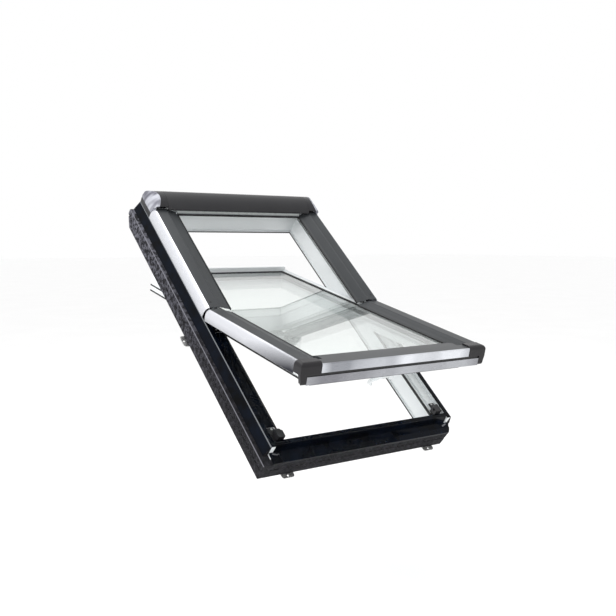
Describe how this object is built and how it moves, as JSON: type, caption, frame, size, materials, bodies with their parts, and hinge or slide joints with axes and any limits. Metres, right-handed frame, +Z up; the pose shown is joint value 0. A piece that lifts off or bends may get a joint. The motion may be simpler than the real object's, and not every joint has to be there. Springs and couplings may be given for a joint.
{
  "type": "roof skylight",
  "caption": "Centre-pivot roof window in a sloping plastic frame with foam collar, double-glazed sash standing open, metal covers, hood, pull handle and locking rods.",
  "frame": {"origin": "middle of the frame in the roof, on the plane of the undersides of the fixing straps", "axes": "+X across the window to the right seen from outside below, +Y level and inwards under the roof, +Z up; the roof rises 41 degrees towards +Y"},
  "size_m": [0.83, 1.0847, 0.8921],
  "materials": {
    "plastic_white": "satin white",
    "gloss_black": "gloss black",
    "bright_metal": "bright anodised",
    "foam": "moulded foam",
    "anthracite_metal": "matt anthracite",
    "anthracite_plastic": "matt anthracite",
    "rubber": "matt black",
    "hinge_black": "satin black",
    "bush_plastic": "matt grey",
    "zinc_steel": "zinc plated",
    "screw_black": "black oxide",
    "glass": "clear",
    "spacer_metal": "satin"
  },
  "bodies": {
    "frame": {"outer_frame": "plastic_white", "side_cladding_left": "gloss_black", "side_cladding_right": "gloss_black", "sill_cladding": "gloss_black", "head_trim": "bright_metal", "insulation_left": "foam", "insulation_right": "foam", "insulation_top": "foam", "insulation_bottom": "foam", "upper_cover_left": "anthracite_metal", "upper_cover_right": "anthracite_metal", "hood": "anthracite_metal", "hood_cap_left": "anthracite_plastic", "hood_cap_right": "anthracite_plastic", "upper_cover_seal": "rubber", "frame_seal": "rubber", "lining_seal": "rubber", "hinge_plate_left": "hinge_black", "hinge_plate_right": "hinge_black", "hinge_bush_left": "bush_plastic", "hinge_bush_right": "bush_plastic", "lock_keeper_left": "hinge_black", "lock_keeper_right": "hinge_black", "strap_left": "zinc_steel", "strap_right": "zinc_steel", "strap_bottom_left": "zinc_steel", "strap_bottom_right": "zinc_steel", "strap_top_left": "zinc_steel", "strap_top_right": "zinc_steel", "strap_screws": "zinc_steel", "cover_screws": "screw_black"},
    "sash": {"sash_frame": "plastic_white", "outer_pane": "glass", "inner_pane": "glass", "spacer_bar": "spacer_metal", "edge_sealant": "rubber", "glazing_seal": "rubber", "sash_cover_left": "anthracite_metal", "sash_cover_right": "anthracite_metal", "bottom_cover": "bright_metal", "bottom_groove_seal": "rubber", "bottom_band": "bright_metal", "corner_cap_left": "anthracite_plastic", "corner_cap_right": "anthracite_plastic", "sash_cover_seal": "rubber", "sash_seal_outer": "rubber", "sash_seal_room": "rubber", "hinge_arm_left": "hinge_black", "hinge_arm_right": "hinge_black", "hinge_pin_left": "zinc_steel", "hinge_pin_right": "zinc_steel", "lock_case": "zinc_steel", "handle_base": "plastic_white", "handle_axle": "zinc_steel"},
    "handle": {"handle_lever": "plastic_white"},
    "rod_left": {"lock_rod_left": "zinc_steel"},
    "rod_right": {"lock_rod_right": "zinc_steel"}
  },
  "joints": [
    {"name": "sash_pivot", "type": "hinge", "parent": "frame", "child": "sash", "pos_m": [0, -0.10819, 0.08483], "axis": [-1, 0, 0], "range_deg": [-28.5, 89.5]},
    {"name": "handle_tilt", "type": "hinge", "parent": "sash", "child": "handle", "pos_m": [0, -0.54714, -0.10672], "axis": [1, 0, 0], "range_deg": [0, 40]},
    {"name": "rod_slide_left", "type": "slide", "parent": "sash", "child": "rod_left", "axis": [-1, 0, 0], "range_m": [0, 0.0221]},
    {"name": "rod_slide_right", "type": "slide", "parent": "sash", "child": "rod_right", "axis": [1, 0, 0], "range_m": [0, 0.0221]}
  ],
  "couplings": [
    {"joint": "rod_slide_left", "follows": "handle_tilt", "m_per_rad": 0.031513},
    {"joint": "rod_slide_right", "follows": "handle_tilt", "m_per_rad": 0.031513}
  ]
}
